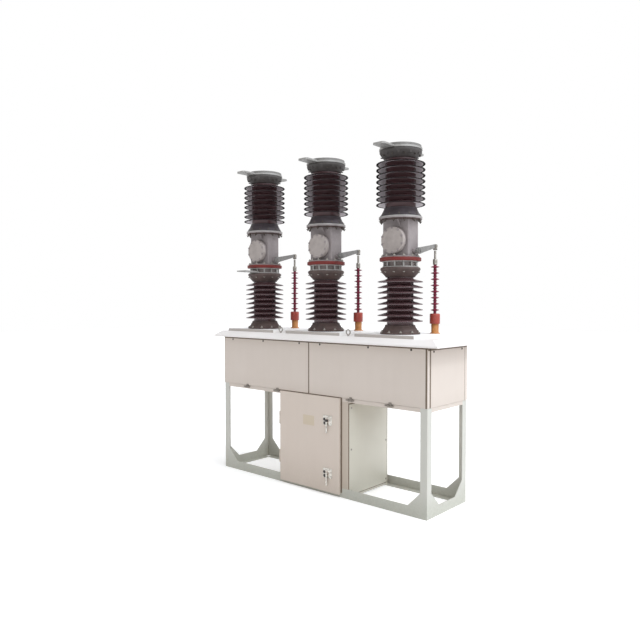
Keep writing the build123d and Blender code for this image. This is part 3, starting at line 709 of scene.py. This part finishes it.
for pattern in (small_bolt, joint_bolt, top_lug, middle_lug):
    dropped(pattern)

# Rib that stiffens the housing under its flange, drawn in towards its foot
rib_foot = HOUSING_FLANGE - 0.062
rib = plate("flange_rib", (-0.005, -0.120, rib_foot), (0.005, -0.060, HOUSING_FLANGE), 0.002)
pick(rib, "vertices", lambda corner: corner.co.z < rib_foot + 0.012 and corner.co.y < -0.09)
bpy.ops.transform.translate(value=(0, 0.045, 0))
bpy.ops.object.mode_set(mode="OBJECT")
at_poles(moved(rib, at(0.045, POLE_Y + 0.005, 0)), "housing_rib", housing_casting)


# cranks and pull rods

# Hub washer and end bolt on the crank shaft
hub_bolt = moved(hex_bolt("hub_bolt", 0.024, 0.009), at(ROD_X + 0.010, POLE_Y, SHAFT) @ TO_RIGHT)
at_poles(hub_bolt, "crank_hub_bolt", crank_paint, "crank_arm_{}")

# Sleeve of the pull rod: eight large sheds with a small one between each pair
core = 0.012
outline = [(0, 0), (core, 0)]
for i in reversed(range(8)):
    z = SLEEVE - 0.018 - i * 0.0489
    if i < 7:
        half = z - 0.0489 / 2
        outline += [(core, half - 0.0034), (0.0182, half - 0.0017), (0.019, half - 0.0008),
                    (0.019, half + 0.0008), (0.0182, half + 0.0017), (core, half + 0.0034)]
    outline += [(core, z - 0.0092), (0.0150, z - 0.0078), (0.0320, z - 0.0024), (0.0335, z - 0.0016),
                (0.034, z), (0.0335, z + 0.0016), (0.0320, z + 0.0024), (0.0150, z + 0.0078),
                (core, z + 0.0092)]
outline += [(core, SLEEVE), (0, SLEEVE)]
sheds = moved(turned("rod_sheds", outline, 40), at(ROD_X, PIN_Y, ROD_FOOT))
at_poles(sheds, "rod_sheds", silicone, "rod_{}", "pull_rod_{}")

# Crimped steel ferrule with its stem
ferrule = turned("rod_ferrule",
                 [(0, 0), (0.0165, 0), (0.018, 0.002), (0.018, 0.008), (0.0172, 0.010), (0.0172, 0.016),
                  (0.018, 0.018), (0.018, 0.036), (0.0165, 0.042), (0.0115, 0.0465), (0.009, 0.048),
                  (0.009, 0.111), (0, 0.111)], 40)
moved(ferrule, at(ROD_X, PIN_Y, ROD_FOOT + SLEEVE))
at_poles(ferrule, "rod_ferrule", zinc, "rod_{}", "pull_rod_{}")


def fork_cheek(name, start, thickness):
    """One cheek of the fork: a round eye drawn down to the crown."""
    deselect()
    bpy.ops.mesh.primitive_cylinder_add(vertices=32, radius=0.0148, depth=thickness, location=(0, 0, 0))
    piece = current(name)
    piece.rotation_euler = (0, math.radians(90), 0)
    piece.location = (start + thickness / 2, 0, 0)
    settle(piece)
    pick(piece, "vertices", lambda corner: corner.co.z < -0.0085)
    bpy.ops.transform.translate(value=(0, 0, -0.0175))
    close(40)
    return round_edges(piece, 0.0009)


fork = joined([fork_cheek("fork_left", -0.013, 0.006), fork_cheek("fork_right", 0.007, 0.006),
               plate("fork_crown", (-0.013, -0.012, -0.032), (0.013, 0.012, -0.0222))], "rod_fork")
moved(fork, at(ROD_X, PIN_Y, PIN))
at_poles(fork, "rod_fork", zinc, "rod_{}", "pull_rod_{}")
pin = turned("rod_pin", [(0, -0.016), (0.006, -0.016), (0.007, -0.015), (0.007, 0.013), (0.011, 0.013),
                         (0.0115, 0.0138), (0.0115, 0.0152), (0.0105, 0.016), (0, 0.016)], 28)
moved(pin, at(ROD_X, PIN_Y, PIN) @ TO_RIGHT)
at_poles(pin, "rod_pin", zinc, "rod_{}", "pull_rod_{}")

# Rain hood on the rod's foot, with the stud inside it, and the tube it dips over
hood = turned("rain_hood",
              [(0, 0.081), (0.030, 0.081), (0.037, 0.0795), (0.0398, 0.076), (0.0405, 0.071),
               (0.0405, 0.0015), (0.0395, 0), (0.038, 0), (0.037, 0.0015), (0.037, 0.072), (0.009, 0.073),
               (0.009, -0.0095), (0.0075, -0.011), (0, -0.011)], 48)
moved(hood, at(ROD_X, PIN_Y, HOOD_FOOT))
at_poles(hood, "rain_hood", hood_resin, "rod_{}", "rod_hood_{}")
tube = turned("guide_tube",
              [(0.024, 0), (0.041, 0), (0.041, 0.006), (0.0395, 0.008), (0.031, 0.008), (0.030, 0.010),
               (0.030, 0.0805), (0.029, 0.082), (0.025, 0.082), (0.024, 0.081), (0.024, 0)], 48)
moved(tube, at(ROD_X, TUBE_Y, PLATE_TOP))
at_poles(tube, "guide_tube", tube_paint, stands_for="guide_tubes")


# covers of the box

def painted_shadow(name, low, high):
    """A black strip: sealing rubber that shows in a seam, and in some places painted shadow."""
    finished(plate(name, low, high, 0.0006, 1), rubber, "stand")


for face_name, y, out in (("front", FRONT, -1), ("rear", BACK, 1)):
    near, far = sorted((y, y + out * SEAL_PROUD))
    painted_shadow(f"{face_name}_middle_seal", (MIDDLE_SEAM - 0.006, near, COVER_LOW),
         (MIDDLE_SEAM + 0.006, far, COVER_HIGH))
    for side_name, side, wide in (("left", -1, 0.004), ("right", 1, 0.016)):
        left, right = sorted((side * (RIGHT - 0.001), side * (RIGHT - wide)))
        painted_shadow(f"{face_name}_{side_name}_corner_seal", (left, near, COVER_LOW), (right, far, COVER_HIGH))
for side_name, side in (("left", -1), ("right", 1)):
    left, right = sorted((side * RIGHT, side * (RIGHT + SEAL_PROUD)))
    for face_name, y, half in (("front", FRONT + 0.033, 0.0085), ("rear", BACK - 0.035, 0.002)):
        painted_shadow(f"end_{side_name}_{face_name}_seal", (left, y - half, COVER_LOW), (right, y + half, COVER_HIGH))

# Black strips above the door and in the slot under the eave: painted shadow, cast by the box over the door
# and by the eave
painted_shadow("door_head_painted_shadow", (-0.420, FRONT - SEAL_PROUD, COVER_LOW - 0.0055), (0.335, FRONT, COVER_LOW + 0.0015))
for face_name, side in (("front", -1), ("rear", 1)):
    near, far = sorted((side * (BACK - 0.0005), side * (BACK + SEAL_PROUD)))
    painted_shadow(f"eave_{face_name}_seal", (-RIGHT - SEAL_PROUD, near, COVER_HIGH - 0.007),
         (RIGHT + SEAL_PROUD, far, EAVE))
for side_name, side in (("left", -1), ("right", 1)):
    left, right = sorted((side * (RIGHT - 0.0005), side * (RIGHT + SEAL_PROUD)))
    painted_shadow(f"eave_{side_name}_seal", (left, FRONT, COVER_HIGH - 0.017), (right, BACK, EAVE))

# Round-head screws under the eave
screw = turned("cover_screw", [(0, 0), (0.0085, 0), (0.0085, 0.001), (0.0065, 0.0015), (0.006, 0.003),
                               (0.0045, 0.0045), (0.0022, 0.0052), (0, 0.0053)], 20)
screws = []
for x in (-1.02, -0.60, -0.145, 0.093, 0.60, 1.00):
    for y, face in ((FRONT - SHEET, TO_FRONT), (BACK + SHEET, TO_FRONT.inverted())):
        screws.append(copied(screw, "screw", at(x, y, COVER_HIGH - 0.016) @ face))
for x, face in ((-RIGHT - SHEET, TO_RIGHT.inverted()), (RIGHT + SHEET, TO_RIGHT)):
    for y in (-0.209, 0.209):
        screws.append(copied(screw, "screw", at(x, y, COVER_HIGH - 0.026) @ face))
finished(joined(screws, "cover_screws"), dark_zinc, "stand")

# Cover latches: a flat bar across the foot of each one, which the fingers pull
for face_name, y, turn in (("front", -LATCH_FACE, 0), ("rear", LATCH_FACE, math.pi)):
    for number, x in enumerate(LATCHES, 1):
        bar = plate(f"{face_name}_cover_latch_bar_{number}", (-0.046, -0.006, 0), (0.036, 0.006, 0.008),
                    0.003, 3)
        moved(bar, at(x, y, LATCH_LEVEL) @ Matrix.Rotation(turn, 4, "Z") @ TO_FRONT)
        finished(bar, latch_plating, "stand")


# control cabinet

# Removable side panels, each on a black strip that shows round its edge: a seam, and along the front and top
# edges painted shadow as well
panel_screws = []
for side_name, x, out, face in (("right", CABINET_RIGHT, 1, TO_RIGHT),
                                ("left", CABINET_LEFT, -1, TO_RIGHT.inverted())):
    left, right = sorted((x, x + out * 0.0015))
    painted_shadow(f"cabinet_{side_name}_panel_seam_and_shadow", (left, -0.2855, 0.022), (right, 0.250, 0.780))
    left, right = sorted((x, x + out * PANEL_PROUD))
    panel = plate(f"cabinet_{side_name}_panel", (left, -0.276, 0.028), (right, 0.244, 0.770))
    finished(panel, cabinet_side_paint, "stand")
    for y in (-0.25, 0.23):
        for z in (0.06, 0.40, 0.74):
            panel_screws.append(copied(screw, "screw", at(x + out * PANEL_PROUD, y, z) @ face))
finished(joined(panel_screws, "cabinet_panel_screws"), zinc, "stand")
dropped(screw)

# Sealing rubber round the doorway, and a dark strip beside the door's free edge that is painted shade
seal_foot = DOORWAY_FOOT - SEAL_WIDTH
seal_head = DOORWAY_HEAD + SEAL_WIDTH
for name, left, right, foot, head in (
        ("left", DOORWAY_LEFT - SEAL_WIDTH, DOORWAY_LEFT, seal_foot, seal_head),
        ("right", DOORWAY_RIGHT, DOORWAY_RIGHT + SEAL_WIDTH, seal_foot, seal_head),
        ("top", DOORWAY_LEFT, DOORWAY_RIGHT, DOORWAY_HEAD, seal_head),
        ("foot", DOORWAY_LEFT, DOORWAY_RIGHT, seal_foot, DOORWAY_FOOT)):
    painted_shadow(f"doorway_seal_{name}", (left, FRONT - 0.0045, foot), (right, FRONT, head))
painted_shadow("doorway_edge_painted_shade", (0.3225, FRONT - 0.0035, 0.040), (0.3340, FRONT, 0.816))

# Bare plate on the door where the real one has its rating plate
finished(plate("bare_door_plate", (-0.082, DOOR_FACE - 0.0012, 0.556), (0.046, DOOR_FACE, 0.640), 0.0004, 1),
         bare_plate, "door")

# Door locks: a nickel escutcheon round the rose, two black catches at its left, a domed knob at its right,
# a keyed barrel on the handle's stem and the tip of the handle
for level_name, z, barrel_finish in (("lower", LOWER_LOCK, nickel), ("upper", UPPER_LOCK, lock_black)):
    lock = f"{level_name}_lock"
    shield = plate(f"{lock}_escutcheon", (-0.046, -0.038, 0), (0.050, 0.044, 0.0045), 0.0042, 3)
    moved(shield, at(LOCK_X, DOOR_FACE, z) @ TO_FRONT)
    finished(shield, nickel, "door")
    for catch_name, side, up in (("upper", -0.031, 0.008), ("lower", -0.028, -0.023)):
        catch = turned(f"{lock}_{catch_name}_catch", [(0, 0), (0.0135, 0), (0.0135, 0.0048),
                                                      (0.0125, 0.0054), (0.0060, 0.0058), (0, 0.0059)], 32)
        moved(catch, at(LOCK_X + side, DOOR_FACE, z + up) @ TO_FRONT)
        finished(catch, lock_black, "door")
    knob = turned(f"{lock}_knob", [(0, 0), (0.0150, 0), (0.0150, 0.0050), (0.0130, 0.0080),
                                   (0.0080, 0.0100), (0, 0.0106)], 36)
    moved(knob, at(LOCK_X + 0.028, DOOR_FACE - 0.0035, z + 0.022) @ TO_FRONT)
    finished(knob, nickel, "door")
    barrel = turned(f"{lock}_barrel", [(0, 0), (0.011, 0), (0.011, 0.013), (0.0095, 0.015), (0, 0.015)], 28)
    moved(barrel, at(LOCK_X, DOOR_FACE - 0.0056, z) @ TO_FRONT)
    finished(barrel, barrel_finish, lock)
    tip = plate(f"{lock}_handle_tip", (-0.0085, -0.100, 0), (0.0085, -0.056, 0.0050), 0.0020, 3)
    moved(tip, at(LOCK_X, DOOR_FACE - 0.0115, z) @ TO_FRONT)
    finished(tip, nickel, lock)


# camera, light and floor

def seen_by(tree, *rays):
    """One for a ray of any of these kinds, and nought for the rest."""
    path = add(tree, "ShaderNodeLightPath")
    seen = path.outputs[rays[0]]
    for kind in rays[1:]:
        either = add(tree, "ShaderNodeMath", {"operation": "ADD", "use_clamp": True}, None,
                     {0: seen, 1: path.outputs[kind]})
        seen = either.outputs[0]
    return seen


# Matt pale floor, lifted a little where it is looked at so that it fades into the background
deselect()
bpy.ops.mesh.primitive_plane_add(size=60, location=(0, 0, 0))
floor = current("floor")
floor_finish, tree, shader, place = new_finish("pale_floor")
shader.inputs["Base Color"].default_value = paint("#F1F0EE")
shader.inputs["Roughness"].default_value = 0.9
shader.inputs["Specular IOR Level"].default_value = 0.1
lift = add(tree, "ShaderNodeMath", {"operation": "MULTIPLY"}, {1: 0.3},
           {0: seen_by(tree, "Is Camera Ray", "Is Glossy Ray")})
shader.inputs["Emission Color"].default_value = (1, 1, 1, 1)
tree.links.new(lift.outputs[0], shader.inputs["Emission Strength"])
floor.data.materials.append(floor_finish)

# White studio, dimmer as a light than as a background
world = bpy.data.worlds.new("studio")
bpy.context.scene.world = world
world.use_nodes = True
tree = world.node_tree
tree.nodes.clear()
strength = add(tree, "ShaderNodeMapRange", values={"To Min": 0.45, "To Max": 1.0},
               links={"Value": seen_by(tree, "Is Camera Ray", "Is Glossy Ray", "Is Transmission Ray")})
sky = add(tree, "ShaderNodeBackground", values={"Color": (1, 1, 1, 1)},
          links={"Strength": strength.outputs[0]})
add(tree, "ShaderNodeOutputWorld", links={"Surface": sky.outputs[0]})

# A wide soft key from the right and above, and a small one in the same place that draws the glaze's glints
key_side = Vector((0.60, 0.02, 0.80))
for lamp_name, energy, spread in (("soft_key", 2.3, 90), ("glint_key", 0.7, 12)):
    lamp = bpy.data.lights.new(lamp_name, "SUN")
    lamp.energy = energy
    lamp.angle = math.radians(spread)
    lamp.color = (0.95, 1.01, 1.09)
    key = bpy.data.objects.new(lamp_name, lamp)
    key.rotation_mode = "QUATERNION"
    key.rotation_quaternion = key_side.to_track_quat("Z", "Y")
    bpy.context.scene.collection.objects.link(key)

# The camera stands off the right front corner, 1.60 m above the ground
azimuth = math.radians(41.667)
looking_down = math.radians(1.654)
back = Vector((math.sin(azimuth) * math.cos(looking_down), -math.cos(azimuth) * math.cos(looking_down),
               math.sin(looking_down)))
lens = bpy.data.cameras.new("photo_view")
lens.lens = 34.70
lens.sensor_width = 36.0
camera = bpy.data.objects.new("photo_view", lens)
camera.location = (3.528, -4.150, 1.600)
camera.rotation_mode = "QUATERNION"
camera.rotation_quaternion = (-back).to_track_quat("-Z", "Y")
bpy.context.scene.collection.objects.link(camera)
bpy.context.scene.camera = camera
bpy.context.scene.view_settings.view_transform = "Standard"
